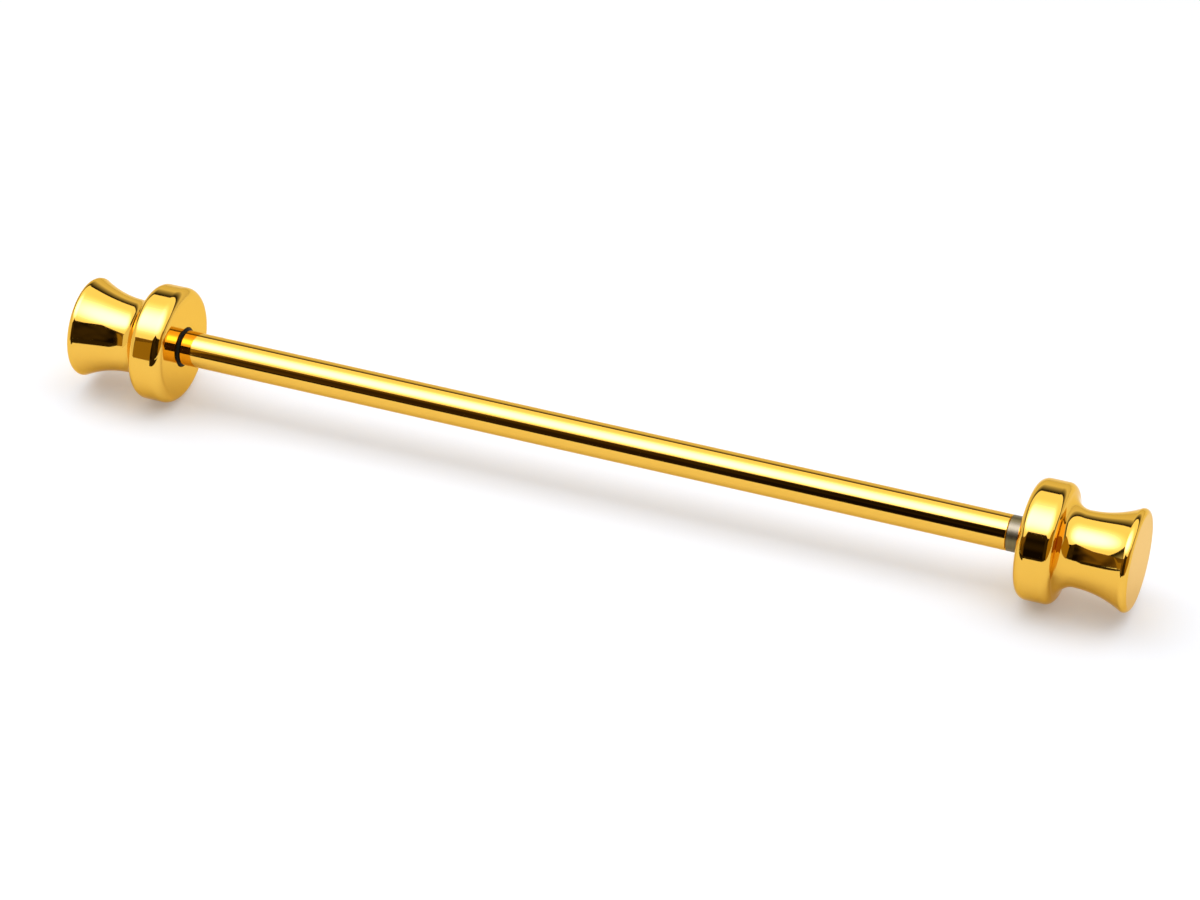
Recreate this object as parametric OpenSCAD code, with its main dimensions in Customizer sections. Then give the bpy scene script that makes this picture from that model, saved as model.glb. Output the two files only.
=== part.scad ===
// Collar bar: a slim plated rod that joins the two leaves of an eyelet collar under the tie knot.
// A turned knob screws on to each end. The rod lies along X, and the origin is at its middle, on its axis.

/* [Bar] */
// Diameter of the rod that goes through the collar's eyelets
bar_d = 2; // [1.6:0.1:2.6]
// Distance between the inner faces of the two knobs
span = 50; // [36:1:70]
// Chamfer on the rod's two ends
bar_chamfer = 0.05; // [0.02:0.01:0.1]

/* [Knobs] */
// Diameter of the disc that stops the collar
disc_d = 6.7; // [5.4:0.1:9]
// Thickness of the disc
disc_t = 2.1; // [1.6:0.1:3]
// Edge radius of the disc on the rod's side
disc_inner_round = 0.6; // [0.2:0.05:0.8]
// Edge radius of the disc on the horn's side
disc_outer_round = 0.5; // [0.2:0.05:0.8]
// Length of the horn, from the disc to the end face
horn_len = 4.05; // [3:0.05:6]
// Diameter of the horn's flared end
horn_d = 5.7; // [5:0.1:6.6]
// Radius that rolls the flared edge over to the end face
horn_round = 0.3; // [0.1:0.05:0.5]
// Diameter of the waist between the disc and the flare
waist_d = 4.25; // [3:0.05:4.6]
// Radius of the hollow between the disc and the waist
waist_fillet = 0.9; // [0.4:0.1:1.2]

/* [Screw joint] */
// Major diameter of the studs' thread
stud_d = 1.2; // [0.8:0.1:1.4]
// Length of each stud
stud_len = 8; // [6:0.25:10]
// Pitch of the thread
thread_pitch = 0.25; // [0.2:0.05:0.3]
// Turns of thread that hold each knob
grip_turns = 12; // [8:1:14]
// Radial clearance between a stud and its tapped holes
thread_clear = 0.02; // [0.01:0.01:0.05]
// Depth of a tapped hole past the stud's end
hole_runout = 0.4; // [0.2:0.1:0.8]

/* [Rings] */
// Thickness of the rubber ring when the left knob is screwed home
o_ring_t = 0.42; // [0.3:0.02:0.6]
// How far the rubber ring stands out all round the rod
o_ring_overhang = 0.15; // [0.05:0.05:0.3]
// Depth of the seat that holds the rubber ring in the left knob's face
seat_depth = 0.3; // [0.1:0.02:0.4]
// Radial clearance of the rubber ring in its seat
seat_clear = 0.02; // [0.01:0.01:0.05]
// Length of the steel spacer between the rod and the right knob
spacer_len = 1; // [0.4:0.1:2]
// Chamfer on the spacer's edges
spacer_chamfer = 0.03; // [0.01:0.01:0.1]
// Radial clearance of both rings round the stud
ring_clear = 0.05; // [0.02:0.01:0.1]

/* [Hidden] */
$fn = 96;
arc_step = 5;
drill_point = 118;
cut_over = 0.1;

gold = "#ebb83f";
steel = "#9a9184";
rubber = "#1a1918";

grip_len = grip_turns * thread_pitch;
hole_d = stud_d + 2 * thread_clear;
ring_bore = stud_d + 2 * ring_clear;
o_ring_d = bar_d + 2 * o_ring_overhang;
seat_d = o_ring_d + 2 * seat_clear;

// the rod stops short of each knob by what its ring takes up there
left_end = -span / 2 + (o_ring_t - seat_depth);
right_end = span / 2 - spacer_len;
left_stud_tip = -span / 2 - seat_depth - grip_len;
right_stud_tip = span / 2 + grip_len;
left_stud_root = left_stud_tip + stud_len;
right_stud_root = right_stud_tip - stud_len;

// Points on an arc about c; a chain of tangent arcs skips the first point of each that follows another
function arc(c, r, from, to, skip = 0) =
    let (steps = ceil(abs(to - from) / arc_step))
    [for (i = [skip : steps]) let (a = from + (to - from) * i / steps) c + r * [cos(a), sin(a)]];

// The knob's outline as [radius, height] above its inner face: a disc with rounded edges,
// a hollow, and a horn that flares on one long arc. Each arc is tangent to the next. Where the
// disc's outer edge and the hollow leave no flat between them, they meet at an angle of lean
function knob_outline() =
    let (
        disc_r = disc_d / 2,
        shoulder = [disc_r - disc_outer_round, disc_t - disc_outer_round],
        reach = disc_outer_round + waist_fillet,
        lean = asin(max(0, waist_d / 2 + waist_fillet - shoulder[0]) / reach),
        waist = [waist_d / 2, shoulder[1] + reach * cos(lean)],
        edge = [horn_d / 2 - horn_round, disc_t + horn_len - horn_round],
        rise = edge - waist,
        flare_r = (rise * rise - horn_round * horn_round) / (2 * (rise[0] + horn_round)),
        flare_angle = atan2(rise[1], flare_r - rise[0])
    )
    concat(
        [[0, 0]],
        arc([disc_r - disc_inner_round, disc_inner_round], disc_inner_round, -90, 0),
        arc(shoulder, disc_outer_round, 0, 90 - lean),
        arc(waist + [waist_fillet, 0], waist_fillet, -90 - lean, -180, lean > 0 ? 1 : 0),
        arc(waist + [flare_r, 0], flare_r, 180, 180 - flare_angle, 1),
        arc(edge, horn_round, -flare_angle, 90, 1),
        [[0, disc_t + horn_len]]
    );

// A rod of diameter d and length len, standing on the origin, with both ends chamfered
module turned_rod(d, len, chamfer) {
    rotate_extrude()
        polygon([
            [0, 0], [d / 2 - chamfer, 0], [d / 2, chamfer],
            [d / 2, len - chamfer], [d / 2 - chamfer, len], [0, len]
        ]);
}

// A blind hole that is drilled down from the origin, with a countersunk mouth and the drill's point
module tapped_hole(depth) {
    countersink = thread_pitch / 2;
    translate([0, 0, -cut_over])
        cylinder(h = depth + cut_over, d = hole_d);
    translate([0, 0, depth])
        cylinder(h = hole_d / 2 / tan(drill_point / 2), d1 = hole_d, d2 = 0);
    translate([0, 0, -cut_over])
        cylinder(h = countersink + cut_over, d1 = hole_d + 2 * (countersink + cut_over), d2 = hole_d);
}

// Puts what stands on the origin along X instead, at x, pointing to the right or to the left
module pointing_right(x) {
    translate([x, 0, 0])
        rotate([0, 90, 0])
            children();
}

module pointing_left(x) {
    translate([x, 0, 0])
        rotate([0, -90, 0])
            children();
}

module knob_body() {
    rotate_extrude()
        polygon(knob_outline());
}

module stud() {
    turned_rod(stud_d, stud_len, thread_pitch / 2);
}

module bar() {
    color(gold)
        difference() {
            pointing_right(left_end)
                turned_rod(bar_d, right_end - left_end, bar_chamfer);
            pointing_right(left_end)
                tapped_hole(left_stud_root - left_end + hole_runout);
            pointing_left(right_end)
                tapped_hole(right_end - right_stud_root + hole_runout);
        }
}

module left_stud() {
    color(steel)
        pointing_right(left_stud_tip)
            stud();
}

module right_stud() {
    color(steel)
        pointing_left(right_stud_tip)
            stud();
}

// Squeezed flat between the rod's end and the floor of its seat, round on its inside and outside
module rubber_o_ring() {
    side_r = o_ring_t / 2;
    color(rubber)
        pointing_left(left_end)
            rotate_extrude()
                polygon(concat(
                    arc([o_ring_d / 2 - side_r, side_r], side_r, -90, 90),
                    arc([ring_bore / 2 + side_r, side_r], side_r, 90, 270)
                ));
}

module steel_spacer() {
    color(steel)
        pointing_right(right_end)
            difference() {
                turned_rod(bar_d, spacer_len, spacer_chamfer);
                translate([0, 0, -cut_over])
                    cylinder(h = spacer_len + 2 * cut_over, d = ring_bore);
            }
}

module left_knob() {
    color(gold)
        pointing_left(-span / 2)
            difference() {
                knob_body();
                translate([0, 0, -cut_over])
                    cylinder(h = seat_depth + cut_over, d = seat_d);
                translate([0, 0, seat_depth])
                    tapped_hole(grip_len + hole_runout);
            }
}

module right_knob() {
    color(gold)
        pointing_right(span / 2)
            difference() {
                knob_body();
                tapped_hole(grip_len + hole_runout);
            }
}

bar();
left_stud();
right_stud();
rubber_o_ring();
steel_spacer();
left_knob();
right_knob();
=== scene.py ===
# Collar bar: a slim gold plated rod with a horn-shaped knob screwed on each end. Lengths are in
# millimetres until a mesh or a card is made. The rod lies along X, above a white table.
import math

import bpy
import numpy as np
from mathutils import Matrix


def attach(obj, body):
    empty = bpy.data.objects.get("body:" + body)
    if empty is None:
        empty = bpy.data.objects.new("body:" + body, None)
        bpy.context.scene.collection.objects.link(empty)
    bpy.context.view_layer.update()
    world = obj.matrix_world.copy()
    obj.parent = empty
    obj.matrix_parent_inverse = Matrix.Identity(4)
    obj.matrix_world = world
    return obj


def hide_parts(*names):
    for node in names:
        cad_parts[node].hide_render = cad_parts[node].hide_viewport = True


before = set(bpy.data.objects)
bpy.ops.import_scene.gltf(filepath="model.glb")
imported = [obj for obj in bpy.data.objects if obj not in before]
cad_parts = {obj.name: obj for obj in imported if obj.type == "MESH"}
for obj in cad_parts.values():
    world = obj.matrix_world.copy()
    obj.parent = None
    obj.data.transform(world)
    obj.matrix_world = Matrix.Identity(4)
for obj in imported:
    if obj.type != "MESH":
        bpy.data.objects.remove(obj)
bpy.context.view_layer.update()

# Bar: a 2 mm brass rod, faced and chamfered at both ends, drilled and tapped there for the studs,
# then polished and gold plated. All the other pieces are screwed or threaded on to it.
MM = 0.001
SIDES = 128
BAR_R = 1.0
BAR_CHAMFER = 0.05
LEFT_END, RIGHT_END = -24.88, 24.0
HOLE_R = 0.62
COUNTERSINK = 0.125
HOLE_RUNOUT = 0.4
DRILL_POINT = HOLE_R / math.tan(math.radians(59))
STUD_LEN = 8.0
LEFT_STUD_TIP, RIGHT_STUD_TIP = 28.3, 28.0


def line(start, end, rings=2):
    """A straight stroke of an outline: points evenly spaced from start to end, as rows of x, radius
    and normal. The normal is the way of travel turned a quarter left: metal is on the right."""
    start, end = np.array(start, float), np.array(end, float)
    along = (end - start) / np.linalg.norm(end - start)
    points = start + (end - start) * np.linspace(0, 1, rings)[:, None]
    return np.hstack([points, np.broadcast_to([-along[1], along[0], 0.0], (rings, 3))])


def arc(centre, radius, start, end, step=3.0):
    """A round stroke: centre + radius * (cos a, sin a), as a goes from start to end in degrees. The
    normal points away from the centre where a falls, and at it where a grows."""
    a = np.radians(np.linspace(start, end, max(3, math.ceil(abs(end - start) / step) + 1)))
    ray = np.stack([np.cos(a), np.sin(a)], 1)
    return np.hstack([centre + radius * ray, -np.sign(end - start) * ray, np.zeros((len(a), 1))])


def mirrored(strokes):
    """The outline pointing the other way: x changes sign, and the strokes run backwards to keep the
    metal on their right."""
    return [s[::-1] * [-1, 1, -1, 1, 1] for s in strokes[::-1]]


def turned(name, strokes, closed=False):
    """A solid of revolution: each point (x, radius) of the outline goes round the X axis as
    (x, radius cos t, radius sin t). A stroke is rows of x, radius and the normal along x, along the
    radius and round the axis, the same for every t or given for each. Strokes share the ring where
    they meet, and each keeps its own normals there, so corners are sharp and arcs are round."""
    grids = [np.broadcast_to(s[:, None, :] if s.ndim == 2 else s, (len(s), SIDES, 5))
             for s in strokes]
    rings = np.concatenate([g[:-1] for g in grids] + ([] if closed else [grids[-1][-1:]]))
    t = np.linspace(0, 2 * np.pi, SIDES, endpoint=False)
    out, around = np.stack([np.cos(t), np.sin(t)], 1), np.stack([-np.sin(t), np.cos(t)], 1)
    xyz = np.concatenate([rings[..., :1], rings[..., 1:2] * out], 2).reshape(-1, 3) * MM
    side = np.arange(SIDES)
    after = (side + 1) % SIDES
    corners, normals, first = [], [], 0
    for g in grids:
        a = (first + np.arange(len(g) - 1))[:, None] * SIDES
        b = (first + np.arange(1, len(g)))[:, None] % len(rings) * SIDES
        corners.append(np.stack([a + side, a + after, b + after, b + side], 2).reshape(-1, 4))
        n = np.concatenate([g[..., 2:3], g[..., 3:4] * out + g[..., 4:5] * around], 2)
        n = np.stack([n[:-1], n[:-1][:, after], n[1:][:, after], n[1:]], 2)
        normals.append(n.reshape(-1, 4, 3))
        first += len(g) - 1
    corners, normals = np.concatenate(corners), np.concatenate(normals)
    # a ring on the axis is one point, and its squares become triangles
    same = np.arange(len(xyz)).reshape(-1, SIDES)
    same = np.where(rings[:, :1, 1] < 1e-6, same[:, :1], same).ravel()
    used, corners = np.unique(same[corners], return_inverse=True)
    corners = corners.reshape(-1, 4)
    keep = np.ones(corners.shape, bool)
    keep[:, 1] = corners[:, 0] != corners[:, 1]
    keep[:, 3] = corners[:, 2] != corners[:, 3]
    sizes = keep.sum(1)
    mesh = bpy.data.meshes.new(name)
    mesh.vertices.add(len(used))
    mesh.vertices.foreach_set("co", xyz[used].ravel())
    mesh.loops.add(int(sizes.sum()))
    mesh.loops.foreach_set("vertex_index", corners[keep].astype(np.int32))
    mesh.polygons.add(len(sizes))
    mesh.polygons.foreach_set("loop_start", (np.cumsum(sizes) - sizes).astype(np.int32))
    mesh.polygons.foreach_set("use_smooth", np.ones(len(sizes), bool))
    mesh.update(calc_edges=True)
    mesh.normals_split_custom_set(normals[keep])
    piece = bpy.data.objects.new(name, mesh)
    bpy.context.scene.collection.objects.link(piece)
    return piece


def linear(hex_colour):
    """An sRGB hex colour as linear red, green, blue and an alpha of 1."""
    c = np.array([int(hex_colour[i:i + 2], 16) for i in (1, 3, 5)]) / 255
    return (*np.where(c <= 0.04045, c / 12.92, ((c + 0.055) / 1.055) ** 2.4).tolist(), 1.0)


def add(tree, kind, settings=None, **links):
    """Adds a node. A setting's key is a socket's name or number, or else a property's name. A
    link's key is the socket's name with _ for a space, or n and its number."""
    node = tree.nodes.new(kind)
    for key, value in (settings or {}).items():
        if isinstance(key, int) or key in node.inputs:
            node.inputs[key].default_value = value
        else:
            setattr(node, key, value)
    for key, output in links.items():
        numbered = key[0] == "n" and key[1:].isdigit()
        tree.links.new(output, node.inputs[int(key[1:]) if numbered else key.replace("_", " ")])
    return node


def new_material(name):
    """An empty node material and its tree."""
    material = bpy.data.materials.new(name)
    material.use_nodes = True
    material.node_tree.nodes.clear()
    return material, material.node_tree


def bore(mouth, depth, wall=None):
    """A blind hole that goes in at mouth towards +X: from the drill's point, along the wall, to the
    rim of its countersink. The wall is plain, or a stroke that is given."""
    bottom, inner = mouth + depth, mouth + COUNTERSINK
    return [
        line((bottom + DRILL_POINT, 0), (bottom, HOLE_R)),
        line((bottom, HOLE_R), (inner, HOLE_R)) if wall is None else wall,
        line((inner, HOLE_R), (mouth, HOLE_R + COUNTERSINK)),
    ]


def rod_end(x, stud_root):
    """The rod's left end at x, from the bottom of its hole out to the chamfer's edge."""
    return [
        *bore(x, stud_root + HOLE_RUNOUT - x),
        line((x, HOLE_R + COUNTERSINK), (x, BAR_R - BAR_CHAMFER)),
        line((x, BAR_R - BAR_CHAMFER), (x + BAR_CHAMFER, BAR_R)),
    ]


# Polished gold plate: a warm mirror of the room. Hand polishing leaves it a little uneven over a
# millimetre or two, which bends reflections, and slightly hazier in some places than in others.
POLISH_WAVE, POLISH_DEPTH, HAZE_PATCH = 2.5, 0.005, 2.4
gold, tree = new_material("polished_gold_plate")
place = add(tree, "ShaderNodeTexCoord").outputs["Object"]
uneven = add(tree, "ShaderNodeTexNoise", {"Scale": 1 / (POLISH_WAVE * MM), "Detail": 0.0},
             Vector=place)
waves = add(tree, "ShaderNodeBump", {"Strength": 1.0, "Distance": POLISH_DEPTH * MM},
            Height=uneven.outputs["Fac"])
haze = add(tree, "ShaderNodeTexNoise", {"Scale": 1 / (HAZE_PATCH * MM), "Detail": 3.0},
           Vector=place)
rough = add(tree, "ShaderNodeMapRange", {
    "From Min": 0.3, "From Max": 0.7, "To Min": 0.035, "To Max": 0.07,
}, Value=haze.outputs["Fac"])
tone = add(tree, "ShaderNodeMix", {"data_type": "RGBA", 6: linear("#EAB648"), 7: linear("#EEBB4F")},
           Factor=haze.outputs["Fac"])
shader = add(tree, "ShaderNodeBsdfPrincipled",
             {"Metallic": 1.0, "Specular Tint": linear("#F8E8BE")}, Base_Color=tone.outputs[2],
             Roughness=rough.outputs["Result"], Normal=waves.outputs["Normal"])
add(tree, "ShaderNodeOutputMaterial", Surface=shader.outputs["BSDF"])

bar = turned("gold_bar", [
    *rod_end(LEFT_END, STUD_LEN - LEFT_STUD_TIP),
    line((LEFT_END + BAR_CHAMFER, BAR_R), (RIGHT_END - BAR_CHAMFER, BAR_R), rings=9),
    *mirrored(rod_end(-RIGHT_END, STUD_LEN - RIGHT_STUD_TIP)),
])
bar.data.materials.append(gold)
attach(bar, "bar")
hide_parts("bar")

# Studs: two lengths of M1.2 stainless steel screw with a rolled thread, one glued into each end of
# the bar. The knobs turn on what stands out. They show only when a knob is unscrewed.
STUD_R = 0.6
PITCH = 0.25
THREAD_DEPTH = 0.5413 * PITCH  # the depth over which a metric screw and its nut overlap
RINGS_PER_TURN = 12


def threaded(start, end, crest, depth, hand=1):
    """A threaded stroke along X from start to end, where crest and depth are functions of x. The
    radius is crest - depth * groove, and groove rises from 0 to 1 as the distance from the nearest
    crest, in pitches, goes from 1/16 to 6/16. Crests lie where x / pitch - hand * t / 360 is half a
    turn past a whole one. hand is 1 for a right-hand thread, and -1 for a left-hand one, which is
    what an outline needs that is mirrored later."""
    x = np.linspace(start, end, round(abs(end - start) / PITCH * RINGS_PER_TURN) + 1)[:, None]
    t = np.linspace(0, 2 * np.pi, SIDES, endpoint=False)[None, :]
    from_crest = np.abs((x / PITCH - hand * t / (2 * np.pi)) % 1 - 0.5)
    radius = crest(x) - depth(x) * np.clip((from_crest - 1 / 16) / (5 / 16), 0, 1)
    along = np.gradient(radius, x[:, 0], axis=0)
    around = (np.roll(radius, -1, 1) - np.roll(radius, 1, 1)) / (2 * t[0, 1]) / radius
    normal = np.stack([-along, np.ones_like(radius), -around], 2) * np.sign(end - start)
    normal /= np.linalg.norm(normal, axis=2, keepdims=True)
    place = np.stack([np.broadcast_to(x, radius.shape), radius], 2)
    return np.concatenate([place, normal], 2)


def stud(tip, hand):
    """A threaded rod from tip - STUD_LEN to tip. At both ends the crests are cut down at 45 degrees
    over half a pitch, and the groove fades out there."""
    root, cut = tip - STUD_LEN, PITCH / 2

    def from_end(x):
        return np.clip(np.minimum(x - root, tip - x), 0, cut)

    return [
        line((root, 0), (root, STUD_R - cut)),
        threaded(root, tip, lambda x: STUD_R - cut + from_end(x),
                 lambda x: THREAD_DEPTH * from_end(x) / cut, hand),
        line((tip, STUD_R - cut), (tip, 0)),
    ]


# Rolled stainless steel: burnished crests, smoother than the roots, and the roots painted a darker
# grey as shade in the thread's grooves. Rolling draws faint streaks along the thread, here much
# wider than real ones.
STREAK_WIDTH, STREAK_LEN, STREAK_DEPTH = 0.02, 0.4, 0.0008
thread_steel, tree = new_material("rolled_stainless_steel")
place = add(tree, "ShaderNodeTexCoord").outputs["Object"]
from_axis = add(tree, "ShaderNodeVectorMath", {"operation": "MULTIPLY", 1: (0, 1, 1)}, n0=place)
from_axis = add(tree, "ShaderNodeVectorMath", {"operation": "LENGTH"},
                n0=from_axis.outputs["Vector"])
on_crest = add(tree, "ShaderNodeMapRange",
               {"From Min": (STUD_R - THREAD_DEPTH) * MM, "From Max": STUD_R * MM},
               Value=from_axis.outputs["Value"])
across, along = 1 / (STREAK_WIDTH * MM), 1 / (STREAK_LEN * MM)
streaks = add(tree, "ShaderNodeMapping", {"Scale": (across, along, along)}, Vector=place)
streaks = add(tree, "ShaderNodeTexNoise", {"Scale": 1.0, "Detail": 2.0},
              Vector=streaks.outputs["Vector"])
# darker grey towards the roots: painted shade in the grooves
tone = add(tree, "ShaderNodeMix", {"data_type": "RGBA", 6: linear("#77716A"), 7: linear("#C4BFB6")},
           Factor=on_crest.outputs["Result"])
rough = add(tree, "ShaderNodeMapRange", {"To Min": 0.46, "To Max": 0.24},
            Value=on_crest.outputs["Result"])
rough = add(tree, "ShaderNodeMath", {"operation": "MULTIPLY_ADD", 1: 0.12},
            n0=streaks.outputs["Fac"], n2=rough.outputs["Result"])
relief = add(tree, "ShaderNodeBump", {"Strength": 1.0, "Distance": STREAK_DEPTH * MM},
             Height=streaks.outputs["Fac"])
shader = add(tree, "ShaderNodeBsdfPrincipled", {"Metallic": 1.0}, Base_Color=tone.outputs[2],
             Roughness=rough.outputs["Value"], Normal=relief.outputs["Normal"])
add(tree, "ShaderNodeOutputMaterial", Surface=shader.outputs["BSDF"])

left_stud = turned("left_stud_screw", mirrored(stud(LEFT_STUD_TIP, -1)))
right_stud = turned("right_stud_screw", stud(RIGHT_STUD_TIP, 1))
for piece, node in ((left_stud, "left_stud"), (right_stud, "right_stud")):
    piece.data.materials.append(thread_steel)
    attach(piece, "bar")
    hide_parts(node)

# Rubber ring: a moulded nitrile O-ring, pinched flat between the end of the bar and the floor of
# the seat in the left knob, with round edges inside and out.
RING_BORE_R = 0.65
O_RING_R, O_RING_T = 1.15, 0.42
round_r = O_RING_T / 2
ring_mid, ring_far = LEFT_END - round_r, LEFT_END - O_RING_T

# Black nitrile rubber: almost black and dull, with a weak warm sheen, broken up by a fine moulded
# grain that is drawn at 0.06 mm.
GRAIN, GRAIN_DEPTH = 0.06, 0.003
rubber, tree = new_material("black_nitrile_rubber")
place = add(tree, "ShaderNodeTexCoord").outputs["Object"]
grain = add(tree, "ShaderNodeTexNoise", {"Scale": 1 / (GRAIN * MM), "Detail": 3.0}, Vector=place)
tone = add(tree, "ShaderNodeMix", {"data_type": "RGBA", 6: linear("#0B0A09"), 7: linear("#151311")},
           Factor=grain.outputs["Fac"])
rough = add(tree, "ShaderNodeMapRange", {"To Min": 0.42, "To Max": 0.6}, Value=grain.outputs["Fac"])
relief = add(tree, "ShaderNodeBump", {"Strength": 1.0, "Distance": GRAIN_DEPTH * MM},
             Height=grain.outputs["Fac"])
shader = add(tree, "ShaderNodeBsdfPrincipled",
             {"Specular IOR Level": 0.1, "Specular Tint": linear("#FFF0C0")},
             Base_Color=tone.outputs[2], Roughness=rough.outputs["Result"],
             Normal=relief.outputs["Normal"])
add(tree, "ShaderNodeOutputMaterial", Surface=shader.outputs["BSDF"])

o_ring = turned("rubber_ring", [
    arc((ring_mid, O_RING_R - round_r), round_r, 180, 0, step=6),
    line((LEFT_END, O_RING_R - round_r), (LEFT_END, RING_BORE_R + round_r)),
    arc((ring_mid, RING_BORE_R + round_r), round_r, 360, 180, step=6),
    line((ring_far, RING_BORE_R + round_r), (ring_far, O_RING_R - round_r)),
], closed=True)
o_ring.data.materials.append(rubber)
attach(o_ring, "left_ring")
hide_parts("rubber_o_ring")

# Steel spacer: a washer 1 mm long, turned from stainless steel rod to the bar's diameter, parted
# off and left as the tool cut it, between the bar and the right knob.
FACE = 25.0
SPACER_CHAMFER = 0.03
spacer_r = BAR_R - SPACER_CHAMFER

# Satin stainless steel: a blurred, greyish beige reflection, broken into thin bands round the piece
# by the tool's feed. The marks are drawn 0.05 mm apart.
FEED, MARK_LEN, MARK_DEPTH = 0.05, 3, 0.0015
satin_steel, tree = new_material("turned_stainless_steel")
place = add(tree, "ShaderNodeTexCoord").outputs["Object"]
across, along = 1 / (FEED * MM), 1 / (MARK_LEN * MM)
feed = add(tree, "ShaderNodeMapping", {"Scale": (across, along, along)}, Vector=place)
feed = add(tree, "ShaderNodeTexNoise", {"Scale": 1.0, "Detail": 2.0}, Vector=feed.outputs["Vector"])
tone = add(tree, "ShaderNodeMix", {"data_type": "RGBA", 6: linear("#6C6042"), 7: linear("#857851")},
           Factor=feed.outputs["Fac"])
rough = add(tree, "ShaderNodeMapRange", {"To Min": 0.3, "To Max": 0.42}, Value=feed.outputs["Fac"])
relief = add(tree, "ShaderNodeBump", {"Strength": 1.0, "Distance": MARK_DEPTH * MM},
             Height=feed.outputs["Fac"])
shader = add(tree, "ShaderNodeBsdfPrincipled", {"Metallic": 1.0}, Base_Color=tone.outputs[2],
             Roughness=rough.outputs["Result"], Normal=relief.outputs["Normal"])
add(tree, "ShaderNodeOutputMaterial", Surface=shader.outputs["BSDF"])

spacer = turned("steel_washer", [
    line((RIGHT_END, RING_BORE_R), (RIGHT_END, spacer_r)),
    line((RIGHT_END, spacer_r), (RIGHT_END + SPACER_CHAMFER, BAR_R)),
    line((RIGHT_END + SPACER_CHAMFER, BAR_R), (FACE - SPACER_CHAMFER, BAR_R), rings=3),
    line((FACE - SPACER_CHAMFER, BAR_R), (FACE, spacer_r)),
    line((FACE, spacer_r), (FACE, RING_BORE_R)),
    line((FACE, RING_BORE_R), (RIGHT_END, RING_BORE_R)),
], closed=True)
spacer.data.materials.append(satin_steel)
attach(spacer, "right_ring")
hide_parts("steel_spacer")

# Knobs: each turned from brass rod in one piece, a thick disc with a horn on it, drilled and tapped
# blind, polished and gold plated. The left one has a seat for the rubber ring in its inner face.
DISC_R, DISC_T, DISC_INNER_ROUND, DISC_OUTER_ROUND = 3.35, 2.1, 0.6, 0.5
WAIST_R, HOLLOW_R = 2.125, 0.9
HORN_R, HORN_LEN, HORN_ROUND = 2.85, 4.05, 0.3
SEAT_R, SEAT_DEPTH = 1.17, 0.3
GRIP_LEN = 3.0


def tapped_wall(mouth, bottom, hand):
    """The thread inside a knob, from bottom to its countersink: the stud's own thread, wider by the
    clearance. It fades in over half a pitch at the mouth and out over one pitch at the bottom."""
    def depth(x):
        fade = np.minimum((x - mouth - COUNTERSINK) / (PITCH / 2), (bottom - x) / PITCH)
        return THREAD_DEPTH * np.clip(fade, 0, 1)

    return threaded(bottom, mouth + COUNTERSINK, lambda x: HOLE_R, depth, hand)


def knob_outline(seat, hand):
    """The right knob's outline from the bottom of its hole to the middle of its end face: edge,
    edge, hollow, flare and rolled rim are arcs, each tangent to the next. What makes it so is the
    flare's radius, (|rise|^2 - rim round^2) / (2 (rise in radius + rim round)), where rise is the
    way from the waist to the rim's centre."""
    shoulder = np.array([FACE + DISC_T - DISC_OUTER_ROUND, DISC_R - DISC_OUTER_ROUND])
    reach = DISC_OUTER_ROUND + HOLLOW_R
    lean = math.asin(max(0.0, WAIST_R + HOLLOW_R - shoulder[1]) / reach)
    waist = np.array([shoulder[0] + reach * math.cos(lean), WAIST_R])
    lean = math.degrees(lean)
    end = FACE + DISC_T + HORN_LEN
    rim = np.array([end - HORN_ROUND, HORN_R - HORN_ROUND])
    rise = rim - waist
    flare_r = (rise @ rise - HORN_ROUND ** 2) / (2 * (rise[1] + HORN_ROUND))
    flare = math.degrees(math.atan2(rise[0], flare_r - rise[1]))
    mouth, depth = FACE + seat, GRIP_LEN + HOLE_RUNOUT
    brim, ring_seat = HOLE_R + COUNTERSINK, []
    if seat:
        ring_seat = [line((mouth, brim), (mouth, SEAT_R)), line((mouth, SEAT_R), (FACE, SEAT_R))]
        brim = SEAT_R
    return [
        *bore(mouth, depth, tapped_wall(mouth, mouth + depth, hand)),
        *ring_seat,
        line((FACE, brim), (FACE, DISC_R - DISC_INNER_ROUND), rings=6),
        arc((FACE + DISC_INNER_ROUND, DISC_R - DISC_INNER_ROUND), DISC_INNER_ROUND, 180, 90),
        line((FACE + DISC_INNER_ROUND, DISC_R), (shoulder[0], DISC_R), rings=3),
        arc(shoulder, DISC_OUTER_ROUND, 90, lean),
        arc(waist + [0, HOLLOW_R], HOLLOW_R, 180 + lean, 270),
        arc(waist + [0, flare_r], flare_r, 270, 270 + flare, step=0.5),
        arc(rim, HORN_ROUND, 90 + flare, 0),
        line((end, rim[1]), (end, 0), rings=12),
    ]


left_knob = turned("gold_left_knob", mirrored(knob_outline(SEAT_DEPTH, -1)))
right_knob = turned("gold_right_knob", knob_outline(0, 1))
for piece, node in ((left_knob, "left_knob"), (right_knob, "right_knob")):
    piece.data.materials.append(gold)
    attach(piece, node)
    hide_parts(node)

# Table and lights, not part of the object: a white paper, a softbox close overhead, and the room.
# Gold shows all of it, so the softbox's face and the cards are there only for the object to mirror,
# and a plain lamp and the room light it.
TABLE_Z, TABLE_EDGE = -DISC_R, 1500


def card(name, corners, material, only_mirrored=True):
    """A flat card through its corners in millimetres, in order. One that is there only for the
    object to mirror neither lights nor shades anything, and the camera looks through it."""
    mesh = bpy.data.meshes.new(name)
    mesh.from_pydata((np.array(corners, float) * MM).tolist(), [], [tuple(range(len(corners)))])
    mesh.materials.append(material)
    obj = bpy.data.objects.new(name, mesh)
    bpy.context.scene.collection.objects.link(obj)
    if only_mirrored:
        obj.visible_camera = obj.visible_diffuse = obj.visible_shadow = False


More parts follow.
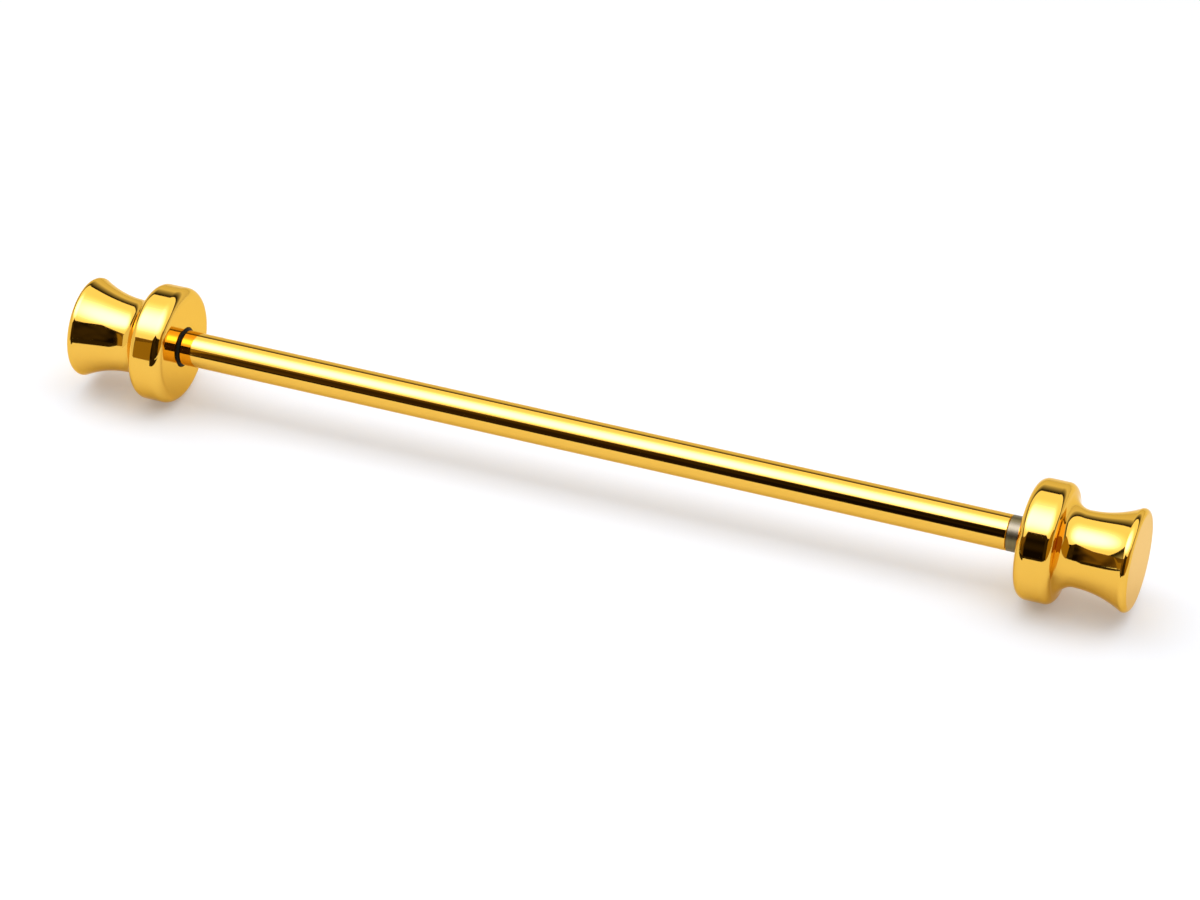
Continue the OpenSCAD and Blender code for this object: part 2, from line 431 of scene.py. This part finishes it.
# White paper shows as plain white where nothing shades it. Lit by the lamp it is almost there, and
# what the camera or a mirror sees of it is lifted the rest of the way. The camera sees it lifted
# more where it is far from the lamp, up to plain white.
PAPER_LIFT, UNDER_LAMP, FAR_FROM_LAMP = 0.22, 80, 220
paper, tree = new_material("white_paper")
path = add(tree, "ShaderNodeLightPath")
place = add(tree, "ShaderNodeTexCoord").outputs["Object"]
from_middle = add(tree, "ShaderNodeVectorMath", {"operation": "LENGTH"}, n0=place)
camera_lift = add(tree, "ShaderNodeMapRange", {
    "From Min": UNDER_LAMP * MM, "From Max": FAR_FROM_LAMP * MM,
    "To Min": PAPER_LIFT, "To Max": 1.0,
}, Value=from_middle.outputs["Value"])
mirror_lift = add(tree, "ShaderNodeMath", {"operation": "MULTIPLY", 1: PAPER_LIFT},
                  n0=path.outputs["Is Glossy Ray"])
lift = add(tree, "ShaderNodeMath", {"operation": "MULTIPLY_ADD"}, n0=path.outputs["Is Camera Ray"],
           n1=camera_lift.outputs["Result"], n2=mirror_lift.outputs["Value"])
glow = add(tree, "ShaderNodeEmission", {"Color": linear("#F7FBFF")}, Strength=lift.outputs["Value"])
matt = add(tree, "ShaderNodeBsdfDiffuse", {"Color": linear("#E4E7EE")})
both = add(tree, "ShaderNodeAddShader", n0=matt.outputs["BSDF"], n1=glow.outputs["Emission"])
add(tree, "ShaderNodeOutputMaterial", Surface=both.outputs["Shader"])

card("table", [
    (-TABLE_EDGE, -TABLE_EDGE, TABLE_Z), (TABLE_EDGE, -TABLE_EDGE, TABLE_Z),
    (TABLE_EDGE, TABLE_EDGE, TABLE_Z), (-TABLE_EDGE, TABLE_EDGE, TABLE_Z),
], paper, only_mirrored=False)

# The softbox's face as a mirror sees it: even silk with the flash's glow in it. The level is
# SILK + GLOW * exp(-0.6 d ** 2.8), where d is the distance from the glow's middle, in units of
# GLOW_SIZE. Bright silk is cooler, which makes a highlight on gold creamy. Past the silk's edge
# comes a black skirt, which pales outwards into the white walls. SKIRT is its width.
BOX_Z = 180
BOX_MIN, BOX_MAX = np.array([-340, -290]), np.array([420, 180])
SILK, GLOW, GLOW_MIDDLE, GLOW_SIZE = 1.35, 9.5, (-60, -62), (150, 70)
SKIRT = np.array([600, 270])
box_mid, box_half = (BOX_MIN + BOX_MAX) / 2, (BOX_MAX - BOX_MIN) / 2


def in_metres(lengths, z=0.0):
    """A vector's x and y in metres, from two lengths in millimetres, and z after them as it is."""
    return (*(np.array(lengths) * MM).tolist(), z)


silk, tree = new_material("softbox_silk")
place = add(tree, "ShaderNodeTexCoord").outputs["Object"]
hot = add(tree, "ShaderNodeVectorMath",
          {"operation": "SUBTRACT", 1: in_metres(GLOW_MIDDLE, BOX_Z * MM)}, n0=place)
hot = add(tree, "ShaderNodeVectorMath",
          {"operation": "DIVIDE", 1: in_metres(GLOW_SIZE, 1)}, n0=hot.outputs["Vector"])
hot = add(tree, "ShaderNodeVectorMath", {"operation": "LENGTH"}, n0=hot.outputs["Vector"])
hot = add(tree, "ShaderNodeMath", {"operation": "POWER", 1: 2.8}, n0=hot.outputs["Value"])
hot = add(tree, "ShaderNodeMath", {"operation": "MULTIPLY", 1: -0.6}, n0=hot.outputs["Value"])
hot = add(tree, "ShaderNodeMath", {"operation": "EXPONENT"}, n0=hot.outputs["Value"])
hot = add(tree, "ShaderNodeMath", {"operation": "MULTIPLY_ADD", 1: GLOW, 2: SILK},
          n0=hot.outputs["Value"])
past = add(tree, "ShaderNodeVectorMath",
           {"operation": "SUBTRACT", 1: in_metres(box_mid)}, n0=place)
past = add(tree, "ShaderNodeVectorMath", {"operation": "ABSOLUTE"}, n0=past.outputs["Vector"])
past = add(tree, "ShaderNodeVectorMath",
           {"operation": "SUBTRACT", 1: in_metres(box_half)}, n0=past.outputs["Vector"])
past = add(tree, "ShaderNodeVectorMath",
           {"operation": "DIVIDE", 1: in_metres(SKIRT, 1)}, n0=past.outputs["Vector"])
past = add(tree, "ShaderNodeSeparateXYZ", n0=past.outputs["Vector"])
past = add(tree, "ShaderNodeMath", {"operation": "MAXIMUM"},
           n0=past.outputs["X"], n1=past.outputs["Y"])
skirt = add(tree, "ShaderNodeMapRange", {"From Min": 0.1, "To Min": 0.03, "To Max": 0.9},
            Value=past.outputs["Value"])
is_skirt = add(tree, "ShaderNodeMath", {"operation": "GREATER_THAN", 1: 0.0},
               n0=past.outputs["Value"])
level = add(tree, "ShaderNodeMix", {"data_type": "FLOAT"}, n0=is_skirt.outputs["Value"],
            n2=hot.outputs["Value"], n3=skirt.outputs["Result"])
cool = add(tree, "ShaderNodeMapRange", {"From Min": SILK, "From Max": 3.0}, Value=level.outputs[0])
cool = add(tree, "ShaderNodeMix", {"data_type": "RGBA", 6: linear("#FFFFFF"), 7: linear("#C0C8FF")},
           Factor=cool.outputs["Result"])
glow = add(tree, "ShaderNodeEmission", Color=cool.outputs[2], Strength=level.outputs[0])
add(tree, "ShaderNodeOutputMaterial", Surface=glow.outputs["Emission"])

# The near edge is cut in by what stands at the camera's side.
skirt_left, (skirt_right, skirt_far) = BOX_MIN[0] - SKIRT[0], BOX_MAX + SKIRT
near_edge = [(skirt_left, -300), (-160, -255), (-100, -224), (-62, -200), (-20, -172), (80, -205),
             (skirt_right, -205)]
far_edge = [(skirt_right, skirt_far), (skirt_left, skirt_far)]
card("softbox", [(x, y, BOX_Z) for x, y in near_edge + far_edge], silk)

# What stands on the table before the bar, seen only in the gold: a white card and a brown cabinet
# at the left, and a brown cabinet at the right. Each is upright at its y, its outline in x and z.
SIDE = 440
left_reflector = [(-41, TABLE_Z), (-SIDE, TABLE_Z), (-SIDE, 240), (-41, 13)]
left_cabinet = [(-43.4, TABLE_Z), (-SIDE, TABLE_Z), (-SIDE, 14), (-52, 14), (-46, 28), (-43.4, 28)]
right_cabinet = [(62, TABLE_Z), (SIDE, TABLE_Z), (SIDE, 230), (130, 84), (62, 42)]

# The front of the room, dark from FRONT_Y on and just above the paper. The shadow of the camera's
# stand reaches in from it, almost to the bar.
FRONT_Y, FRONT_Z = -110, TABLE_Z + 0.05
dark_front = [
    (-TABLE_EDGE, FRONT_Y), (-70.2, FRONT_Y), (-31.6, -17.5), (19, -28), (13, -60), (26, FRONT_Y),
    (TABLE_EDGE, FRONT_Y), (TABLE_EDGE, -TABLE_EDGE), (-TABLE_EDGE, -TABLE_EDGE),
]
for name, colour, level, corners in (
        ("left_reflector", "#FFFFFF", 0.95, [(x, -22, z) for x, z in left_reflector]),
        ("left_cabinet", "#A08538", 1.0, [(x, -45, z) for x, z in left_cabinet]),
        ("right_cabinet", "#AC8B30", 1.0, [(x, -60, z) for x, z in right_cabinet]),
        ("dark_front", "#FFE0B0", 0.03, [(x, y, FRONT_Z) for x, y in dark_front])):
    finish, tree = new_material(name + "_card")
    glow = add(tree, "ShaderNodeEmission", {"Color": linear(colour), "Strength": level})
    add(tree, "ShaderNodeOutputMaterial", Surface=glow.outputs["Emission"])
    card(name, corners, finish)

# The softbox as a lamp, at a plain level for matt surfaces.
LAMP_SIZE, LAMP_MIDDLE, LAMP_LEVEL = (400, 250), (-40, -30), 1.15
light = bpy.data.lights.new("softbox_lamp", "AREA")
light.shape, light.size, light.size_y = "RECTANGLE", LAMP_SIZE[0] * MM, LAMP_SIZE[1] * MM
light.energy = LAMP_LEVEL * math.pi * light.size * light.size_y
lamp = bpy.data.objects.new("softbox_lamp", light)
lamp.location = in_metres(LAMP_MIDDLE, BOX_Z * MM)
lamp.visible_glossy = False
bpy.context.scene.collection.objects.link(lamp)

# The room by direction, where X, Y and Z run from -1 to 1: white walls behind, paler upwards, and
# towards the camera patches of brown on the left and of near black on the right. The camera itself
# sees plain white.
world = bpy.data.worlds.new("room")
bpy.context.scene.world = world
world.use_nodes = True
tree = world.node_tree
tree.nodes.clear()
way = add(tree, "ShaderNodeTexCoord").outputs["Generated"]
parts = add(tree, "ShaderNodeSeparateXYZ", n0=way)
height = add(tree, "ShaderNodeMapRange", {"From Max": 0.55}, Value=parts.outputs["Z"])
walls = add(tree, "ShaderNodeMix",
            {"data_type": "RGBA", 6: linear("#E8E7E6"), 7: linear("#FFFFFF")},
            Factor=height.outputs["Result"])
leftward = add(tree, "ShaderNodeMapRange", {"From Min": -0.24, "From Max": -0.36},
               Value=parts.outputs["X"])
patches = add(tree, "ShaderNodeTexNoise", {"Scale": 2.4, "Detail": 1.0}, Vector=way)
patches = add(tree, "ShaderNodeMapRange", {"From Min": 0.35, "From Max": 0.6},
              Value=patches.outputs["Fac"])
browns = add(tree, "ShaderNodeMix",
             {"data_type": "RGBA", 6: linear("#382A12"), 7: linear("#7A6231")},
             Factor=patches.outputs["Result"])
blacks = add(tree, "ShaderNodeMix",
             {"data_type": "RGBA", 6: linear("#120D06"), 7: linear("#3A301E")},
             Factor=patches.outputs["Result"])
dark = add(tree, "ShaderNodeMix", {"data_type": "RGBA"}, Factor=leftward.outputs["Result"],
           n6=blacks.outputs[2], n7=browns.outputs[2])
frontward = add(tree, "ShaderNodeMapRange", {"From Min": -0.10, "From Max": -0.18},
                Value=parts.outputs["Y"])
room = add(tree, "ShaderNodeMix", {"data_type": "RGBA"}, Factor=frontward.outputs["Result"],
           n6=walls.outputs[2], n7=dark.outputs[2])
camera_sees = add(tree, "ShaderNodeLightPath").outputs["Is Camera Ray"]
room = add(tree, "ShaderNodeMix", {"data_type": "RGBA", 7: linear("#FFFFFF")}, Factor=camera_sees,
           n6=room.outputs[2])
sky = add(tree, "ShaderNodeBackground", {"Strength": 1.0}, Color=room.outputs[2])
add(tree, "ShaderNodeOutputWorld", Surface=sky.outputs["Background"])

# Camera: at the photograph's angle, 233 mm from the middle of the bar. The middle is seen a little
# off the centre of the picture, by AIM. FOCAL and AIM are in pixels of the picture's WIDTH.
AZIMUTH, ELEVATION, ROLL = math.radians(21.24), math.radians(35.07), math.radians(0.12)
WIDTH, FOCAL, AIM, DISTANCE = 1200, 4224.0, (-6.86, 11.20), 0.2334
right = np.array([math.cos(AZIMUTH), math.sin(AZIMUTH), 0])
up = np.array([-math.sin(AZIMUTH) * math.sin(ELEVATION), math.cos(AZIMUTH) * math.sin(ELEVATION),
               math.cos(ELEVATION)])
back = np.cross(right, up)
right, up = (right * math.cos(ROLL) + up * math.sin(ROLL),
             up * math.cos(ROLL) - right * math.sin(ROLL))
lens = bpy.data.cameras.new("camera")
lens.sensor_width = 36
lens.lens = FOCAL * lens.sensor_width / WIDTH
lens.clip_start, lens.clip_end = 0.01, 10
camera = bpy.data.objects.new("camera", lens)
camera.matrix_world = Matrix(np.stack([right, up, back], 1).tolist()).to_4x4()
camera.location = (back - (right * AIM[0] + up * AIM[1]) / FOCAL) * DISTANCE
bpy.context.scene.collection.objects.link(camera)
bpy.context.scene.camera = camera
bpy.context.scene.view_settings.view_transform = "Standard"
